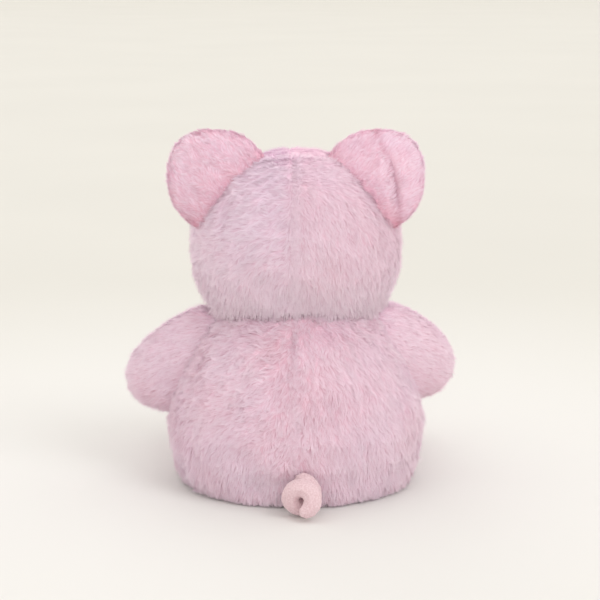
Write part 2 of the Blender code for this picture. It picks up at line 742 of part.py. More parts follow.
def weld(mesh):
    """The tube's caps joined to its side, with every face pointing out."""
    shell = bmesh.new()
    shell.from_mesh(mesh)
    bmesh.ops.remove_doubles(shell, verts=shell.verts, dist=WELD_DISTANCE)
    bmesh.ops.recalc_face_normals(shell, faces=shell.faces)
    welded = settled_mesh(mesh.name, shell)
    welded.shade_smooth()
    return welded


def main():
    torso = torso_mesh()
    head = head_mesh()
    make_torso(torso, head)
    neck = pivot("neck_pivot", (0, -HEAD_FORWARD, NECK_FLOOR_HEIGHT))
    make_neck(head, neck)
    nod = pivot("head_pivot", HEAD_CENTRE, neck)
    make_head(head, nod)
    for side, sign in SIDES.items():
        make_ear(side, sign, head, nod)
        make_arm(side, sign, torso, head)
        make_leg(side, sign, torso)
    make_tail(torso)


clear_scene()
PARTS = new_collection("plush_pig")
CUTTERS = new_collection("cutters")
FUR = material("pink_fur", (0.86, 0.60, 0.66), 0.95)
VELOUR = material("pale_velour", (0.90, 0.70, 0.74), 0.85)
FIBRE = material("fibre_fill", (0.92, 0.92, 0.90), 0.95)
POUCH_CLOTH = material("pouch_cloth", (0.85, 0.83, 0.78), 0.9)
THREAD = material("thread", (0.80, 0.52, 0.58), 0.7)
STITCHING = material("embroidery", (0.66, 0.34, 0.42), 0.6)
GLOSS = material("gloss_black", (0.012, 0.010, 0.010), 0.12)
WASHER = material("washer_plastic", (0.80, 0.80, 0.80), 0.5)
main()
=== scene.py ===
"""The looks of the seated plush pig: pile on every fur panel, velour, eyes, stitching, light and camera."""
from math import cos, pi, radians, sin

import bmesh
import bpy
import numpy as np
from mathutils import Matrix, Vector
from mathutils.bvhtree import BVHTree
from mathutils.kdtree import KDTree


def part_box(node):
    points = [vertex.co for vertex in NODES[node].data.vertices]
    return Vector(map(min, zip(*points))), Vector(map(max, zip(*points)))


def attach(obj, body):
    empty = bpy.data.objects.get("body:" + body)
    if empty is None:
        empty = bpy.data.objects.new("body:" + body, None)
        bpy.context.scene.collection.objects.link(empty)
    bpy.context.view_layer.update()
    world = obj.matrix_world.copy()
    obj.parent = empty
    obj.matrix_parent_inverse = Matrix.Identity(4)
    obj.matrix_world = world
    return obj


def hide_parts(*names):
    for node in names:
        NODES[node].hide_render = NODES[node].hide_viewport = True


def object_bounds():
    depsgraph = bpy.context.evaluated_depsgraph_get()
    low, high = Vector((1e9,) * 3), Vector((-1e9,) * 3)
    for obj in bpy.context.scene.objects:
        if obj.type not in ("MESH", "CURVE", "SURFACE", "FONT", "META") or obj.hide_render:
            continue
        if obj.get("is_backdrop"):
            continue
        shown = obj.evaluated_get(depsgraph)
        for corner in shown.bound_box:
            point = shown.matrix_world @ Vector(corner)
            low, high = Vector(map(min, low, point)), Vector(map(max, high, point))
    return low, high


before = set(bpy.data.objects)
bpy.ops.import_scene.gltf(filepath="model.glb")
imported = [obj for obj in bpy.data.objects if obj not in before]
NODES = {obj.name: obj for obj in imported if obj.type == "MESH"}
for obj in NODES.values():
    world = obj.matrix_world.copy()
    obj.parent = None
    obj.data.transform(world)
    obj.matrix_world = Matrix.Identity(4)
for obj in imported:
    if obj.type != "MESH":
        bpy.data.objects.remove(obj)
cad_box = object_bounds()

# Pile
PILE_LENGTH = 0.0064
PILE_WIDTH = 0.00030
PILE_FLATNESS = 0.5
PILE_ROOT_DEPTH = 0.0008
PILE_FLOOR = 0.0004
LAYER_HEIGHT = 0.0016
LAYER_LUMPS = 0.0004
GUARD_SHARE = 0.08
CLUMP_AREA = 9e-6
RIM_DENSITY = 2.0
RIM_REACH = 0.0045
RIM_BLEND = 0.0025
BACK_DENSITY = 1.5e6
FRONT_DENSITY = 1.0e6
FACE_SHARE = 0.8
EYE_REACH = 0.008
EYE_CLEARANCE = 0.0007
WELD_DISTANCE = 1e-6

# Seams: how far each layer closes its seam, and how far the strands' roots hang over it
SEAM_CLOSING = 0.0004
SEAM_OVERHANG = 0.0007
OVERHANG_REACH = 0.0014
OVERHANG_BLEND = 0.0008

# The fabric that closes a limb on the side that leans on the torso
PATCH_MARGIN = 0.0010
PATCH_BOTTOM = 0.0001
PATCH_TOP = 0.0003
PATCH_LAYER = 0.0005

# Ears, as the solids have them, and the fold in the right one
EAR_ROOT = Vector((0.042, 0.016, 0.2105))
EAR_LEAN = radians(45)
EAR_SWEEP = radians(14)
EAR_CORNER = 0.0035
FOLD_LOW = 0.200
FOLD_HIGH = 0.2375
FOLD_SIDE = -0.0715
FOLD_LEAN = 0.0080
FOLD_BOW = 0.0015

# Where the nap changes on the back of the head
NAP_EDGE = 0.0035

# Camera and backdrop
CAMERA_RISE = radians(11)
CAMERA_AIM = Vector((-0.0029, 0, 0.1335))
CAMERA_DISTANCE = 1.3
CAMERA_LENS = 108.3
BOWL_RADIUS = 14.0
BOWL_CURVE = 3.0
BOWL_STEPS = 96
CURVE_STEPS = 16


def linear(red, green, blue):
    """A colour as the eye reads it, 0 to 255, in the linear values that shaders take."""
    shares = np.array([red, green, blue]) / 255
    return tuple(np.where(shares <= 0.04045, shares / 12.92, ((shares + 0.055) / 1.055) ** 2.4)) + (1.0,)


# ---------------------------------------------------------------- materials
def new_material(name, roughness, sheen=0.0, sheen_tint=None):
    made = bpy.data.materials.new(name)
    made.use_nodes = True
    shader = made.node_tree.nodes["Principled BSDF"]
    shader.inputs["Roughness"].default_value = roughness
    shader.inputs["Sheen Weight"].default_value = sheen
    shader.inputs["Sheen Roughness"].default_value = 0.5
    if sheen_tint:
        shader.inputs["Sheen Tint"].default_value = sheen_tint
    shader.inputs["Specular IOR Level"].default_value = 0.25
    return made, made.node_tree, shader


def ramp(tree, source, stops):
    node = tree.nodes.new("ShaderNodeValToRGB")
    points = node.color_ramp.elements
    while len(points) < len(stops):
        points.new(0.5)
    for point, (place, colour) in zip(points, stops):
        point.position = place
        point.color = colour
    tree.links.new(source, node.inputs["Fac"])
    return node.outputs["Color"]


def noise(tree, scale, detail=3.0, stretch=None):
    spot = tree.nodes.new("ShaderNodeTexCoord")
    source = spot.outputs["Object"]
    if stretch:
        mapping = tree.nodes.new("ShaderNodeMapping")
        mapping.inputs["Scale"].default_value = stretch
        tree.links.new(source, mapping.inputs["Vector"])
        source = mapping.outputs["Vector"]
    node = tree.nodes.new("ShaderNodeTexNoise")
    node.inputs["Scale"].default_value = scale
    node.inputs["Detail"].default_value = detail
    tree.links.new(source, node.inputs["Vector"])
    return node.outputs["Fac"]


def bump(tree, shader, height, strength, distance):
    node = tree.nodes.new("ShaderNodeBump")
    node.inputs["Strength"].default_value = strength
    node.inputs["Distance"].default_value = distance
    tree.links.new(height, node.inputs["Height"])
    tree.links.new(node.outputs["Normal"], shader.inputs["Normal"])


def pile_material():
    """Colour by tint across the map and by height along a strand up the map. The deeper pink low on the map is
    painted shade at the roots and the paler pink high on it is painted light at the tips; the lilac ramp carries
    random lilac patches and painted cool light.
    """
    made, tree, shader = new_material("pile", 0.9, 0.25, linear(255, 236, 240))
    where = tree.nodes.new("ShaderNodeUVMap")
    where.uv_map = "OFBake"
    parts = tree.nodes.new("ShaderNodeSeparateXYZ")
    tree.links.new(where.outputs["UV"], parts.inputs["Vector"])
    # Lilac ramp: random lilac patches and painted cool light; pink ramp: the plain pink. In both, low on the map is
    # painted shade and high on it is painted light.
    cool = ramp(tree, parts.outputs["Y"], [(0.0, linear(198, 146, 170)), (0.3, linear(226, 189, 209)),
                                           (0.6, linear(242, 218, 235)), (1.0, linear(251, 238, 251))])
    warm = ramp(tree, parts.outputs["Y"], [(0.0, linear(206, 134, 151)), (0.3, linear(231, 182, 198)),
                                           (0.6, linear(246, 213, 227)), (1.0, linear(254, 235, 246))])
    mix = tree.nodes.new("ShaderNodeMix")
    mix.data_type = "RGBA"
    tree.links.new(parts.outputs["X"], mix.inputs["Factor"])
    tree.links.new(cool, mix.inputs["A"])
    tree.links.new(warm, mix.inputs["B"])
    tree.links.new(mix.outputs["Result"], shader.inputs["Base Color"])
    return made


def cloth_material(name, dark, pale, scale, roughness=0.9, sheen=0.3, strength=0.3, distance=0.0004, stretch=None):
    made, tree, shader = new_material(name, roughness, sheen, linear(255, 240, 243))
    height = noise(tree, scale, 5.0, stretch)
    tree.links.new(ramp(tree, height, [(0.3, linear(*dark)), (0.7, linear(*pale))]), shader.inputs["Base Color"])
    bump(tree, shader, height, strength, distance)
    return made


def plain_material(name, dark, pale, scale, roughness, strength=0.1):
    made, tree, shader = new_material(name, roughness)
    height = noise(tree, scale, 4.0)
    tree.links.new(ramp(tree, height, [(0.35, linear(*dark)), (0.65, linear(*pale))]), shader.inputs["Base Color"])
    bump(tree, shader, height, strength, 0.0002)
    return made


PILE = pile_material()
BACKING = cloth_material("pile_backing", (188, 132, 146), (214, 168, 180), 700)
VELOUR = cloth_material("velour", (210, 177, 184), (228, 203, 209), 900, 0.8, 0.5, 0.35, 0.0003)
FIBRE = cloth_material("fibre", (222, 222, 220), (244, 244, 242), 160, 0.95, 0.2, 0.6, 0.001, (1, 1, 5))
POUCH = cloth_material("pouch_weave", (206, 200, 186), (228, 222, 208), 1400, 0.9, 0.2, 0.4, 0.0003)
THREAD = cloth_material("thread_twist", (190, 128, 142), (226, 172, 184), 1500, 0.6, 0.2, 0.4, 0.0002, (1, 1, 3))
SATIN = cloth_material("satin_stitch", (176, 104, 122), (206, 140, 156), 900, 0.45, 0.3, 0.5, 0.0003, (8, 1, 1))
EYE = plain_material("eye_gloss", (10, 8, 8), (16, 13, 13), 300, 0.08, 0.02)
WASHER = plain_material("washer_moulded", (205, 205, 203), (222, 222, 220), 900, 0.5)


# ---------------------------------------------------------------- mesh helpers
def triangles(mesh):
    mesh.calc_loop_triangles()
    spots = np.empty(len(mesh.vertices) * 3, np.float32)
    mesh.vertices.foreach_get("co", spots)
    corners = np.empty(len(mesh.loop_triangles) * 3, np.int32)
    mesh.loop_triangles.foreach_get("vertices", corners)
    return spots.reshape(-1, 3).astype(float), corners.reshape(-1, 3)


def tree_of(node):
    spots, corners = triangles(NODES[node].data)
    return BVHTree.FromPolygons(spots.tolist(), corners.tolist())


def mesh_from(name, spots, faces_flat, face_sizes, uvs):
    """A mesh from flat arrays, with its map."""
    mesh = bpy.data.meshes.new(name)
    mesh.vertices.add(len(spots))
    mesh.vertices.foreach_set("co", np.asarray(spots, np.float32).ravel())
    mesh.loops.add(len(faces_flat))
    mesh.loops.foreach_set("vertex_index", np.asarray(faces_flat, np.int32))
    mesh.polygons.add(len(face_sizes))
    starts = np.concatenate([[0], np.cumsum(face_sizes)[:-1]]).astype(np.int32)
    mesh.polygons.foreach_set("loop_start", starts)
    mesh.update(calc_edges=True)
    layer = mesh.uv_layers.new(name="OFBake")
    layer.uv.foreach_set("vector", np.asarray(uvs, np.float32).ravel())
    mesh.shade_smooth()
    return mesh


def place(name, mesh, finish, body, slot, *nodes):
    item = bpy.data.objects.new(name, mesh)
    bpy.context.scene.collection.objects.link(item)
    mesh.materials.clear()
    mesh.materials.append(finish)
    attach(item, body)
    if nodes:
        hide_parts(*nodes)
    return item


def smooth_copy(node, voxel, rounds):
    """A node's solid with its facets rounded into a fine even surface."""
    item = bpy.data.objects.new("copy_" + node, NODES[node].data.copy())
    bpy.context.scene.collection.objects.link(item)
    remesh = item.modifiers.new("Even", "REMESH")
    remesh.mode = "VOXEL"
    remesh.voxel_size = voxel
    soften = item.modifiers.new("Soften", "SMOOTH")
    soften.factor = 0.5
    soften.iterations = rounds
    bpy.context.view_layer.update()
    mesh = bpy.data.meshes.new_from_object(item.evaluated_get(bpy.context.evaluated_depsgraph_get()))
    bpy.data.objects.remove(item)
    mesh.shade_smooth()
    return mesh


# ---------------------------------------------------------------- pile
def wave_field(spots, size, seed):
    """A smooth field from -1 to 1 in three parts, whose swells are about one size across."""
    rng = np.random.default_rng(seed)
    total = np.zeros((len(spots), 3))
    for octave in range(6):
        waves = rng.normal(size=(3, 3))
        waves /= np.linalg.norm(waves, axis=1)[:, None]
        pace = 2 * pi / size * (0.7 + 0.25 * octave)
        total += np.sin(spots @ waves.T * pace + rng.uniform(0, 2 * pi, 3))
    return total / 3.2


def unit(vectors):
    return vectors / np.maximum(np.linalg.norm(vectors, axis=1), 1e-9)[:, None]


def finer(node, levels):
    """A node, welded and in finer facets: its points, their corners and the normals."""
    whole = bpy.data.meshes.new("layer_" + node)
    weld = bmesh.new()
    weld.from_mesh(NODES[node].data)
    bmesh.ops.remove_doubles(weld, verts=weld.verts, dist=WELD_DISTANCE)
    weld.to_mesh(whole)
    weld.free()
    item = bpy.data.objects.new("layer_" + node, whole)
    bpy.context.scene.collection.objects.link(item)
    split = item.modifiers.new("Finer", "SUBSURF")
    split.subdivision_type = "SIMPLE"
    split.levels = split.render_levels = levels
    bpy.context.view_layer.update()
    mesh = bpy.data.meshes.new_from_object(item.evaluated_get(bpy.context.evaluated_depsgraph_get()))
    bpy.data.objects.remove(item)
    spots, corners = triangles(mesh)
    outward = np.empty(len(spots) * 3)
    mesh.vertices.foreach_get("normal", outward)
    bpy.data.meshes.remove(mesh)
    return spots, corners, outward.reshape(-1, 3)


def inner_patch(node, panels):
    """A thin closed sheet over the part of a filling that no panel covers, in the form that layer_of gives."""
    spots, corners, outward = finer(node, 3)
    covers = [tree_of(panel) for panel in panels]
    bare = np.array([min(cover.find_nearest(Vector(p))[3] for cover in covers) > PATCH_MARGIN for p in spots])
    chosen = corners[bare[corners].all(1)]
    used, flat = np.unique(chosen.ravel(), return_inverse=True)
    top = flat.reshape(-1, 3)
    count = len(used)
    ways = np.concatenate([top[:, [0, 1]], top[:, [1, 2]], top[:, [2, 0]]])
    known = {tuple(way) for way in ways.tolist()}
    rim = np.array([way for way in ways.tolist() if (way[1], way[0]) not in known])
    first, second = rim[:, 0], rim[:, 1]
    walls = np.concatenate([np.stack([second, first, first + count], 1),
                            np.stack([second, first + count, second + count], 1)])
    skin = np.concatenate([spots[used] + outward[used] * PATCH_TOP, spots[used] + outward[used] * PATCH_BOTTOM])
    furry = np.concatenate([np.ones(count), np.zeros(count)])
    faces = np.concatenate([top, top[:, ::-1] + count, walls])
    return skin, faces, np.concatenate([outward[used], outward[used]]), furry, np.isin(np.arange(2 * count), rim)


def layer_of(node, inner, facing):
    """A panel in finer facets: points, corners, the way out, how furry each is (0 to 1), and if it is at the rim."""
    spots, corners, outward = finer(node, 2)
    edges = outward.copy()
    if inner is not None:
        found = [inner.find_nearest(Vector(p)) for p in spots]
        away = unit(spots - np.array([tuple(f[0]) for f in found]))
        furry = np.clip((outward * away).sum(1) / 0.4, 0, 1)
        furry *= np.clip((np.array([f[3] for f in found]) - 0.0012) / 0.0006, 0, 1)
        outward = away
        sideways = edges - (edges * away).sum(1)[:, None] * away
        beside = np.linalg.norm(sideways, axis=1) > 0.35
        spots = spots + unit(sideways) * (SEAM_CLOSING * beside)[:, None]
        rim = beside & (furry > 0.6)
    else:
        furry = np.clip((outward @ np.array(facing) + 0.25) / 0.4, 0, 1)
        rim = furry < 0.6
    return spots, corners, outward, furry, rim


def scatter(spots, corners, furry, rim, density, rng):
    """Points spread over the furry side, closer together at its rim, with their face normals."""
    a, b, c = spots[corners[:, 0]], spots[corners[:, 1]], spots[corners[:, 2]]
    cross = np.cross(b - a, c - a)
    area = np.linalg.norm(cross, axis=1) / 2 * furry
    area *= 1 + RIM_DENSITY * rim[corners].any(1)
    count = int(area.sum() * density)
    chosen = rng.choice(len(area), count, p=area / area.sum())
    first = np.sqrt(rng.uniform(size=count))[:, None]
    second = rng.uniform(size=count)[:, None]
    points = a[chosen] * (1 - first) + b[chosen] * first * (1 - second) + c[chosen] * first * second
    return points, unit(cross)[chosen]


def pile(name, node, inner, density, length, comb, tint, body, seed, facing=None, lean=66, clumping=0.3,
         shape=None, pull=None, hang=None, cross=1.0, clear=(), sheet=None, height=LAYER_HEIGHT):
    """A panel's matted layer and its loose pile: closed tapering strands that lean with the comb."""
    rng = np.random.default_rng(seed)
    skin, corners, outward, furry, rim = sheet or layer_of(node, inner, facing)
    lumps = wave_field(skin, 0.011, seed + 5)[:, 0]
    skin = skin + outward * (furry * (height + LAYER_LUMPS * lumps))[:, None]
    if shape:
        skin = skin + outward * (furry * shape(skin))[:, None]
    if pull:
        skin = skin + pull(skin)
    skin[:, 2] = np.maximum(skin[:, 2], PILE_FLOOR)
    covered = furry[corners].min(1) > 0.6 if facing is None else furry[corners].max(1) > 0.6
    points, normals = scatter(skin, corners, covered, rim, density, rng)
    count = len(points)
    middles = points[rng.permutation(count)[: max(8, int(count / (density * CLUMP_AREA)))]]
    finder = KDTree(len(middles))
    for index, middle in enumerate(middles):
        finder.insert(middle, index)
    finder.balance()
    member = np.array([finder.find(p)[1] for p in points])
    average = np.stack([np.bincount(member, normals[:, axis], len(middles)) for axis in range(3)], 1)
    near = np.array([[found[1] for found in finder.find_n(m, 12)] for m in middles])
    average = unit(average[near].sum(1))
    up = unit(average[member] + 0.35 * normals)
    flow, calm = comb(points)
    flow = unit(flow - (flow * up).sum(1)[:, None] * up)
    rim_spots = skin[rim]
    rim_finder = KDTree(len(rim_spots))
    for index, spot in enumerate(rim_spots):
        rim_finder.insert(spot, index)
    rim_finder.balance()
    found = [rim_finder.find(p) for p in points]
    rim_gap = np.array([f[2] for f in found])
    toward = np.array([tuple(f[0]) for f in found]) - points
    toward = unit(toward - (toward * up).sum(1)[:, None] * up)
    close = np.clip((RIM_REACH - rim_gap) / RIM_BLEND, 0, 1)
    flow = unit(flow + toward * (cross * close * rng.uniform(0.2, 1.6, count))[:, None])
    nearest = np.clip((OVERHANG_REACH - rim_gap) / OVERHANG_BLEND, 0, 1)
    points = points + toward * (SEAM_OVERHANG * cross * nearest * rng.uniform(0, 1, count))[:, None]
    side = np.cross(up, flow)
    patch = wave_field(points, 0.016, seed + 1)
    angle = calm * (0.55 * patch[:, 0] + 0.30 * rng.normal(size=len(middles))[member]) + 0.14 * rng.normal(size=count)
    flow = flow * np.cos(angle)[:, None] + side * np.sin(angle)[:, None]
    guard = rng.uniform(size=count) < GUARD_SHARE
    tall = length(points) * (0.75 + 0.4 * rng.uniform(size=count)) * (1 + 0.10 * patch[:, 1])
    tall *= (1 + 0.12 * calm * rng.normal(size=len(middles))[member]).clip(0.7, 1.3)
    tall[guard] *= 1.1
    leaning = radians(lean) + 0.16 * calm * patch[:, 2] + 0.09 * rng.normal(size=count)
    leaning[guard] -= radians(22)
    leaning = leaning.clip(0.5, 1.38)
    way = up * np.cos(leaning)[:, None] + flow * np.sin(leaning)[:, None]
    if hang:
        fall, weight = hang(points, up)
        way = unit(way * (1 - weight)[:, None] + fall * weight[:, None] + 0.12 * rng.normal(size=(count, 3)))
    tips = points + way * tall[:, None]
    hidden = np.zeros(count, bool)
    for rigid in clear:
        low, high = (np.array(tuple(corner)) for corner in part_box(rigid))
        close_by = ((points > low - EYE_REACH) & (points < high + EYE_REACH)).all(1)
        solid = tree_of(rigid)
        for index in np.where(close_by)[0]:
            spots = (Vector(points[index] * (1 - share) + tips[index] * share) for share in (0.0, 0.35, 0.7, 1.0))
            hidden[index] = any(solid.find_nearest(spot)[3] < EYE_CLEARANCE for spot in spots)
    held = np.maximum(np.bincount(member, minlength=len(middles)), 1)[:, None]
    clump_tips = np.stack([np.bincount(member, tips[:, axis], len(middles)) for axis in range(3)], 1) / held
    gather = clumping * calm * rng.uniform(0.4, 1.4, count)
    tips += (clump_tips[member] - tips) * gather[:, None]
    reach = unit(tips - points)
    across = unit(np.cross(reach, up))
    other = np.cross(reach, across)
    roots = points - reach * PILE_ROOT_DEPTH
    width = PILE_WIDTH * rng.uniform(0.75, 1.3, count)[:, None]
    width[guard] *= 0.7
    kept = ~hidden
    points, tips, roots, across, other, width, up, flow, member = (
        part[kept] for part in (points, tips, roots, across, other, width, up, flow, member))
    count = len(points)
    spots = np.empty((count, 4, 3))
    for corner, turn, share in ((0, 0, 1), (1, pi / 2, PILE_FLATNESS), (2, pi, 1)):
        spots[:, corner] = roots + (across * cos(turn) + other * sin(turn)) * width * share
    spots[:, 3] = tips
    spots[:, :, 2] = np.maximum(spots[:, :, 2], PILE_FLOOR + 0.0004 * rng.uniform(size=(count, 1)))
    local = np.array([0, 1, 3, 1, 2, 3, 2, 0, 3, 0, 2, 1])
    faces = (local[None] + 4 * np.arange(count)[:, None]).ravel()
    shade = tint(points)
    tints = (shade[:, 0] + 0.06 * rng.normal(size=count)).clip(0.03, 0.97)
    # The lift is painted light and shade from the tint functions, with random spread per strand and per clump.
    lift = shade[:, 1] + 0.06 * rng.normal(size=count) + 0.05 * rng.normal(size=len(middles))[member] * calm[kept]
    # Roots sit lower on the map than tips: painted shade deep in the pile, painted light at the tips.
    heights = np.array([0.50, 0.50, 0.50, 0.90])
    u = tints[:, None] + np.array([-0.012, 0, 0.012, 0])[None]
    v = (heights[None] + lift[:, None]).clip(0.02, 0.98)
    uvs = np.stack([u[:, local], v[:, local]], 2).reshape(-1, 2)
    skin_shade = tint(skin)
    skin_heights = 0.46 + 0.03 * furry + skin_shade[:, 1]
    skin_uv = np.stack([skin_shade[:, 0].clip(0.03, 0.97), skin_heights.clip(0.02, 0.98)], 1)
    a, b, c = (spots[:, local[corner::3]] for corner in range(3))
    plain = unit(np.cross(b - a, c - a).reshape(-1, 3))
    soft = np.repeat(unit(up + 0.25 * flow), 4, 0)
    outer = np.clip((plain * soft).sum(1) / 0.3, 0, 1)[:, None]
    strand_normals = np.repeat(unit(soft * (0.45 + 0.55 * outer) + plain * (1 - 0.75 * outer)), 3, 0)
    shading = np.concatenate([strand_normals, outward[corners.ravel()]])
    mesh = mesh_from(name, np.concatenate([spots.reshape(-1, 3), skin]),
                     np.concatenate([faces, corners.ravel() + 4 * count]),
                     np.full(4 * count + len(corners), 3),
                     np.concatenate([uvs, skin_uv[corners.ravel()]]))
    mesh.normals_split_custom_set(shading.tolist())
    item = place(name, mesh, PILE, body, "pink_fur", *([node] if node else []))
    print("pile", name, count, "strands", len(mesh.polygons), "faces")
    return item


def along(direction, calm=0.5):
    direction = np.array(direction, float)

    def comb(points):
        return np.tile(direction, (len(points), 1)), np.full(len(points), calm)
    return comb


def edge(values, middle, width):
    """A soft step from 0 to 1."""
    return 1 / (1 + np.exp(-(values - middle) / width))


def torso_comb(points):
    """Sideways on the left of the back, down elsewhere, roughest along the middle seam."""
    left = edge(points[:, 0], 0.012, 0.006) * edge(points[:, 2], 0.045, 0.008)
    flow = np.zeros_like(points)
    flow[:, 0] = left * 0.95 - (1 - left) * 0.12 * np.tanh(-points[:, 0] / 0.02)
    flow[:, 2] = -(0.45 * left + 1.0 * (1 - left))
    rough = 0.45 + 0.5 * left + 0.45 * np.exp(-(points[:, 0] / 0.025) ** 2)
    return flow, rough


def head_comb(points):
    """The nap changes at the seam: sideways to the left of it, smooth and down to the right."""
    left = edge(points[:, 0], NAP_EDGE, 0.0015) * edge(points[:, 2], 0.160, 0.007)
    low = 1 - edge(points[:, 2], 0.165, 0.01)
    flow = np.zeros_like(points)
    crown = edge(points[:, 2], 0.219, 0.005)
    flow[:, 0] = left * 0.95 - (1 - left) * (0.25 * edge(-points[:, 0], 0.0, 0.01) + 1.2 * crown)
    flow[:, 1] = 0.25 * crown
    flow[:, 2] = -(0.35 * left + 1.0 * (1 - left))
    return flow, 0.22 + 0.65 * left + 0.45 * low


def body_tint(points):
    """Lilac to the left of the back and pink to the right, the lilac being painted cool light, in soft patches;
    deeper in the middle. The right edge is lighter in painted light and the left edge darker in painted shade.
    """
    patch = wave_field(points, 0.07, 21)
    left = edge(points[:, 0], 0.02, 0.02)
    middle = np.exp(-(points[:, 0] / 0.028) ** 2 - ((points[:, 2] - 0.070) / 0.034) ** 2)
    # The lilac on the left of the back is painted cool light.
    tints = 0.62 - 0.30 * left + 0.16 * patch[:, 0] + 0.25 * middle
    # Painted light on the right edge of the back, where the key lamp falls, and painted shade on the left edge.
    painted_side_light = 0.10 * edge(-points[:, 0], 0.062, 0.012) - 0.05 * edge(points[:, 0], 0.045, 0.012)
    return np.stack([tints, 0.05 * patch[:, 1] - 0.09 * middle + painted_side_light], 1)


def head_tint(points):
    """Lilac to the left of the nap edge and pink to the right, the lilac being painted cool light; paler below, which
    is painted light lifting the shade under the head, and paler on the crown, which is painted light on its top.
    """
    patch = wave_field(points, 0.06, 22)
    left = edge(points[:, 0], NAP_EDGE, 0.002) * edge(points[:, 2], 0.155, 0.012)
    low = 1 - edge(points[:, 2], 0.150, 0.010)
    crown = edge(points[:, 2], 0.224, 0.004)
    # The lilac left of the nap edge is painted cool light; the lift below and on the crown is painted light.
    tints = 0.62 - 0.50 * left + 0.10 * patch[:, 0] - 0.1 * low
    return np.stack([tints, 0.03 * patch[:, 1] + 0.22 * low + 0.12 * crown], 1)


def limb_tint(points):
    """Soft patches of pink; lilac to the left, which is painted cool light, and deeper, darker pink near the floor,
    which is painted shade.
    """
    patch = wave_field(points, 0.05, 23)
    left = edge(points[:, 0], 0.0, 0.02)
    low = 1 - edge(points[:, 2], 0.072, 0.010)
    # Lilac on the left is painted cool light; the darker pink low down is painted shade near the floor.
    return np.stack([0.62 - 0.22 * left + 0.14 * patch[:, 0] + 0.2 * low, 0.03 * patch[:, 1] - 0.07 * low], 1)


def under_chin(points, up):
    """The pile below the head hangs over the neck."""
    fall = 0.6 * up + np.array([0, 0, -0.8])
    return unit(fall), np.clip((-up[:, 2] - 0.25) / 0.3, 0, 1) * 0.9


def torso_swell(points):
    """Soft swells of the stuffing, and a lower edge whose pile fills out to the floor."""
    swell = wave_field(points, 0.034, 31)
    return 0.0012 * (swell[:, 0] + 0.5) + 0.0035 * np.exp(-(points[:, 2] / 0.012) ** 2)


def jowl_flare(points):
    """The pile below the head is fuller, most at the back, and covers the neck."""
    behind = edge(points[:, 1], 0.0, 0.006) * np.exp(-(points[:, 0] / 0.036) ** 2)
    swell = wave_field(points, 0.034, 32)[:, 0]
    return 0.0008 * (swell + 0.5) + (0.0014 + 0.0014 * behind) * (1 - edge(points[:, 2], 0.128, 0.004))


def head_length(points):
    return PILE_LENGTH * (1 + 0.28 * (1 - edge(points[:, 2], 0.135, 0.005)))


def face_length(points):
    return 0.85 * head_length(points)


def up_to_chin(points, up):
    """The pile at the top of the torso stands up to meet the head."""
    return unit(up + np.array([0, 0, 0.5])), 0.25 * edge(points[:, 2], 0.112, 0.0015)


def ear_place(points, sign):
    """Points as the ear sees them: along its root, out of the head, and to the front."""
    frame_of_ear = (Matrix.Translation(EAR_ROOT * Vector((sign, 1, 1))) @ Matrix.Rotation(sign * EAR_LEAN, 4, "Y")
                    @ Matrix.Rotation(sign * EAR_SWEEP, 4, "Z") @ Matrix.Rotation(pi / 2, 4, "X"))
    back = np.array(frame_of_ear.inverted())
    return points @ back[:3, :3].T + back[:3, 3]


def ear_corner(sign):
    """The ear's outer corner reaches further than a plain oval."""
    reach = (Matrix.Rotation(sign * EAR_LEAN, 3, "Y") @ Matrix.Rotation(sign * EAR_SWEEP, 3, "Z")
             @ Matrix.Rotation(pi / 2, 3, "X")) @ Vector((0, 1, 0))

    def pull(points):
        local = ear_place(points, sign)
        share = np.exp(-(local[:, 0] / 0.015) ** 2) * np.clip(local[:, 1] / 0.048, 0, 1) ** 2
        return np.array(reach)[None] * (EAR_CORNER * share)[:, None]
    return pull


def ear_tint(sign):
    """Deeper, darker pink towards the root and in the fold: painted shade where the ear meets the head and in its
    crease.
    """
    def tint(points):
        patch = wave_field(points, 0.03, 24)
        out = ear_place(points, sign)[:, 1]
        # Painted shade: darker and deeper pink where the ear meets the head.
        root = 1 - edge(out, 0.011, 0.004)
        lift = 0.03 * patch[:, 1] - 0.14 * root - (0.15 if sign > 0 else 0.13)
        if sign < 0:
            # Painted shade in the crease of the fold.
            lift = lift - 0.20 * np.exp(-(fold_distance(points) / 0.003) ** 2)
        return np.stack([0.42 + 0.12 * patch[:, 0] + 0.35 * root, lift], 1)
    return tint


def fold_distance(points):
    """How far a point of the right ear lies outside its fold, measured from behind."""
    rise = (points[:, 2] - FOLD_LOW) / (FOLD_HIGH - FOLD_LOW)
    line = FOLD_SIDE + FOLD_LEAN * rise - FOLD_BOW * 4 * rise * (1 - rise)
    return -(points[:, 0] - line)


def right_ear_fold(points):
    """A deep crease that runs down the ear, with the side next to the head laid over it."""
    away = fold_distance(points)
    rise = (points[:, 2] - FOLD_LOW) / (FOLD_HIGH - FOLD_LOW)
    along_fold = edge(rise, 0.02, 0.07) * (1 - edge(rise, 1.0, 0.08))
    groove = -0.0046 * np.exp(-(away / 0.0026) ** 2)
    flap = 0.0034 * np.exp(-((away + 0.0065) / 0.0055) ** 2)
    swell = 0.0012 * np.exp(-((away - 0.008) / 0.006) ** 2)
    return (groove + flap + swell) * along_fold


def left_ear_dents(points):
    """Two soft dents in the ear's lower half."""
    place_in_ear = ear_place(points, 1)
    low = np.exp(-((place_in_ear[:, 0] + 0.012) / 0.008) ** 2 - ((place_in_ear[:, 1] - 0.018) / 0.007) ** 2)
    high = np.exp(-((place_in_ear[:, 0] - 0.006) / 0.01) ** 2 - ((place_in_ear[:, 1] - 0.030) / 0.006) ** 2)
    return -0.0014 * low - 0.001 * high


def full(points):
    return np.full(len(points), PILE_LENGTH)


def torso_length(points):
    """Shorter along the middle seam."""
    return PILE_LENGTH * (1 - 0.3 * np.exp(-(points[:, 0] / 0.004) ** 2))


def shorter(share):
    return lambda points: np.full(len(points), PILE_LENGTH * share)


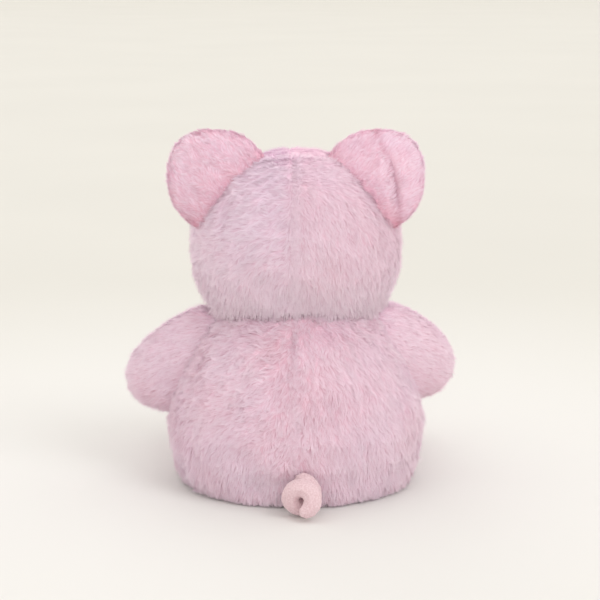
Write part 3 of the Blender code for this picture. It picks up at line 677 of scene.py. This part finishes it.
def make_pile():
    body_fill, head_fill = tree_of("body_filling"), tree_of("head_filling")
    torso = {"comb": torso_comb, "tint": body_tint, "body": "torso", "shape": torso_swell, "hang": up_to_chin,
             "clumping": 0.42}
    head = {"comb": head_comb, "tint": head_tint, "body": "head", "shape": jowl_flare, "hang": under_chin}
    made = [
        pile("body_back_left_pile", "body_back_left", body_fill, BACK_DENSITY, torso_length, seed=11, **torso),
        pile("body_back_right_pile", "body_back_right", body_fill, BACK_DENSITY, torso_length, seed=12, **torso),
        pile("body_belly_pile", "body_belly", body_fill, FRONT_DENSITY, full, seed=13, **torso),
        pile("head_back_left_pile", "head_back_left", head_fill, BACK_DENSITY, head_length, seed=14, **head),
        pile("head_back_right_pile", "head_back_right", head_fill, BACK_DENSITY, head_length, seed=15, **head),
        pile("head_face_pile", "head_face", head_fill, FACE_SHARE * FRONT_DENSITY, face_length, seed=16,
             clear=("left_eye", "right_eye"), **head),
    ]
    for sign, side in ((1, "left"), (-1, "right")):
        arm = tree_of(side + "_arm_filling")
        leg = tree_of(side + "_leg_filling")
        reach = along((sign, -0.15, -0.45), 0.45)
        kick = along((sign, -0.3, -0.6), 0.4)
        fall = along((0, 0.2, -1), 0.3)
        for part in ("front", "back"):
            made.append(pile(f"{side}_arm_{part}_pile", f"{side}_arm_{part}", arm, BACK_DENSITY, full, reach,
                             limb_tint, side + "_arm", 30 + sign + len(part)))
        for part in ("top", "bottom"):
            made.append(pile(f"{side}_leg_{part}_pile", f"{side}_leg_{part}", leg, FRONT_DENSITY, full, kick,
                             limb_tint, side + "_leg", 50 + sign + len(part), cross=0.3))
        for part, panels in (("arm", ("front", "back")), ("leg", ("top", "bottom"))):
            sheet = inner_patch(f"{side}_{part}_filling", [f"{side}_{part}_{panel}" for panel in panels])
            made.append(pile(f"{side}_{part}_inner_pile", None, None, BACK_DENSITY, shorter(0.55), fall,
                             limb_tint, f"{side}_{part}", 90 + sign + len(part), sheet=sheet, height=PATCH_LAYER))
        out = along((sign * 0.8, 0.1, 0.6), 0.9 if sign > 0 else 0.6)
        made.append(pile(f"{side}_ear_back_pile", f"{side}_ear_back", None, BACK_DENSITY, shorter(0.6), out,
                         ear_tint(sign), side + "_ear", 70 + sign, facing=(sign * -0.2, 0.97, 0.1), cross=0.3,
                         pull=ear_corner(sign), shape=left_ear_dents if sign > 0 else right_ear_fold))


# ---------------------------------------------------------------- smooth pieces
def make_velour():
    """The snout, soles, ear linings and tail, smooth and short."""
    for node, body, voxel, rounds in (
            ("snout_side", "head", 0.0007, 4), ("snout_front", "head", 0.0007, 4),
            ("left_leg_sole", "left_leg", 0.0009, 6), ("right_leg_sole", "right_leg", 0.0009, 6),
            ("left_ear_lining", "left_ear", 0.0012, 6), ("right_ear_lining", "right_ear", 0.0012, 6),
            ("tail", "tail", 0.0006, 6)):
        mesh = smooth_copy(node, voxel, rounds)
        if "ear" in node:
            spots = triangles(mesh)[0]
            spots += ear_corner(1 if node.startswith("left") else -1)(spots)
            mesh.vertices.foreach_set("co", spots.astype(np.float32).ravel())
            mesh.update()
        item = place(node + "_velour", mesh, VELOUR, body, "pale_velour", node)


def make_fill():
    """The fibre fill, the pouch and the base panel."""
    for node, body, finish, slot in (
            ("body_filling", "torso", FIBRE, "fibre_fill"), ("head_filling", "head", FIBRE, "fibre_fill"),
            ("neck_filling", "neck", FIBRE, "fibre_fill"), ("snout_filling", "head", FIBRE, "fibre_fill"),
            ("left_arm_filling", "left_arm", FIBRE, "fibre_fill"),
            ("right_arm_filling", "right_arm", FIBRE, "fibre_fill"),
            ("left_leg_filling", "left_leg", FIBRE, "fibre_fill"),
            ("right_leg_filling", "right_leg", FIBRE, "fibre_fill"),
            ("bean_bag", "torso", POUCH, "pouch_cloth"), ("body_base", "torso", BACKING, "pink_fur")):
        voxel = 0.0012 if node in ("body_base", "bean_bag", "snout_filling") else 0.003
        item = place(node + "_dressed", smooth_copy(node, voxel, 3), finish, body, slot, node)


def finish_nodes():
    """The rigid and sewn trim that keeps its own shape."""
    for node, finish, slot in (("left_eye", EYE, "gloss_black"), ("right_eye", EYE, "gloss_black"),
                               ("left_nostril", SATIN, "embroidery"), ("right_nostril", SATIN, "embroidery")):
        place(node + "_round", smooth_copy(node, 0.0003, 10), finish, "head", slot, node)
    for node, finish in (("left_eye_washer", WASHER), ("right_eye_washer", WASHER), ("neck_seam", THREAD)):
        for holder in NODES[node].material_slots:
            holder.material = finish


# ---------------------------------------------------------------- stage
def make_stage():
    """A pale seamless bowl: a flat round floor that curves up into a low wall, with a painted pool of light on the
    floor around the pig.
    """
    made, tree, shader = new_material("backdrop", 0.95)
    spots = noise(tree, 2.0, 2.0)
    far = ramp(tree, spots, [(0.3, linear(215, 213, 207)), (0.7, linear(217, 215, 209))])
    # Painted light: the floor is paler within about a metre of the middle, a pool of light around the pig.
    where = tree.nodes.new("ShaderNodeTexCoord")
    reach = tree.nodes.new("ShaderNodeVectorMath")
    reach.operation = "LENGTH"
    tree.links.new(where.outputs["Object"], reach.inputs[0])
    painted_pool_reach = tree.nodes.new("ShaderNodeMapRange")
    painted_pool_reach.interpolation_type = "SMOOTHSTEP"
    painted_pool_reach.inputs["From Min"].default_value = 0.9
    painted_pool_reach.inputs["From Max"].default_value = 0.1
    tree.links.new(reach.outputs["Value"], painted_pool_reach.inputs["Value"])
    painted_light_pool = tree.nodes.new("ShaderNodeMix")
    painted_light_pool.data_type = "RGBA"
    tree.links.new(painted_pool_reach.outputs["Result"], painted_light_pool.inputs["Factor"])
    tree.links.new(far, painted_light_pool.inputs["A"])
    painted_light_pool.inputs["B"].default_value = linear(229, 228, 226)
    floor = painted_light_pool.outputs["Result"]
    parts = tree.nodes.new("ShaderNodeSeparateXYZ")
    tree.links.new(where.outputs["Object"], parts.inputs["Vector"])
    share = tree.nodes.new("ShaderNodeMapRange")
    share.inputs["From Min"].default_value = 0.0
    share.inputs["From Max"].default_value = 1.5
    tree.links.new(parts.outputs["Z"], share.inputs["Value"])
    mix = tree.nodes.new("ShaderNodeMix")
    mix.data_type = "RGBA"
    tree.links.new(share.outputs["Result"], mix.inputs["Factor"])
    tree.links.new(floor, mix.inputs["A"])
    mix.inputs["B"].default_value = linear(240, 237, 231)
    tree.links.new(mix.outputs["Result"], shader.inputs["Base Color"])
    profile = [(0.5, 0.0), (2.0, 0.0), (6.0, 0.0), (12.0, 0.0), (13.8, 0.0), (BOWL_RADIUS, 0.0)]
    for step in range(1, CURVE_STEPS + 1):
        turn = pi / 2 * step / CURVE_STEPS
        profile.append((BOWL_RADIUS + BOWL_CURVE * sin(turn), BOWL_CURVE - BOWL_CURVE * cos(turn)))
    profile.append((BOWL_RADIUS + BOWL_CURVE, BOWL_CURVE + 1.0))
    sweep = bmesh.new()
    turns = [2 * pi * step / BOWL_STEPS for step in range(BOWL_STEPS)]
    rings = [[sweep.verts.new((radius * cos(turn), radius * sin(turn), height)) for turn in turns]
             for radius, height in profile]
    sweep.faces.new(rings[0])
    for lower, upper in zip(rings, rings[1:]):
        for step in range(BOWL_STEPS):
            sweep.faces.new([lower[step - 1], upper[step - 1], upper[step], lower[step]])
    bmesh.ops.recalc_face_normals(sweep, faces=sweep.faces)
    mesh = bpy.data.meshes.new("backdrop")
    sweep.to_mesh(mesh)
    sweep.free()
    mesh.shade_smooth()
    mesh.materials.append(made)
    item = bpy.data.objects.new("backdrop", mesh)
    bpy.context.scene.collection.objects.link(item)
    item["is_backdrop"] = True


def wide_light(name, at, spread, power):
    """A distant lamp as wide as a studio screen, so its shadows are soft and the floor is even."""
    light = bpy.data.lights.new(name, "SUN")
    light.angle = radians(spread)
    light.energy = power
    light.color = (0.97, 0.98, 1.0)
    item = bpy.data.objects.new(name, light)
    item.location = at
    item.rotation_euler = (-Vector(at)).to_track_quat("-Z", "Y").to_euler()
    bpy.context.scene.collection.objects.link(item)


def make_light():
    wide_light("key", (-2.4, 2.2, 3.0), 28, 0.60)
    wide_light("front", (-0.2, 4.4, 0.9), 34, 0.66)
    wide_light("far", (1.0, -4.4, 1.6), 34, 0.45)
    world = bpy.data.worlds.new("studio")
    bpy.context.scene.world = world
    world.use_nodes = True
    sky = world.node_tree.nodes["Background"]
    sky.inputs["Color"].default_value = linear(255, 252, 247)
    sky.inputs["Strength"].default_value = 1.06
    bpy.context.scene.view_settings.view_transform = "Standard"


def make_camera():
    """Behind the pig and a little above it, as in the photograph."""
    camera = bpy.data.cameras.new("camera")
    camera.lens = CAMERA_LENS
    camera.clip_start = 0.05
    item = bpy.data.objects.new("camera", camera)
    item.location = CAMERA_AIM + Vector((0, cos(CAMERA_RISE), sin(CAMERA_RISE))) * CAMERA_DISTANCE
    item.rotation_euler = (CAMERA_AIM - item.location).to_track_quat("-Z", "Y").to_euler()
    bpy.context.scene.collection.objects.link(item)
    bpy.context.scene.camera = item


make_camera()
make_stage()
make_light()
make_pile()
make_velour()
make_fill()
finish_nodes()


def corners(box):
    return [[float(value) for value in corner] for corner in box]


{"cad": corners(cad_box), "visual": corners(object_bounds())}
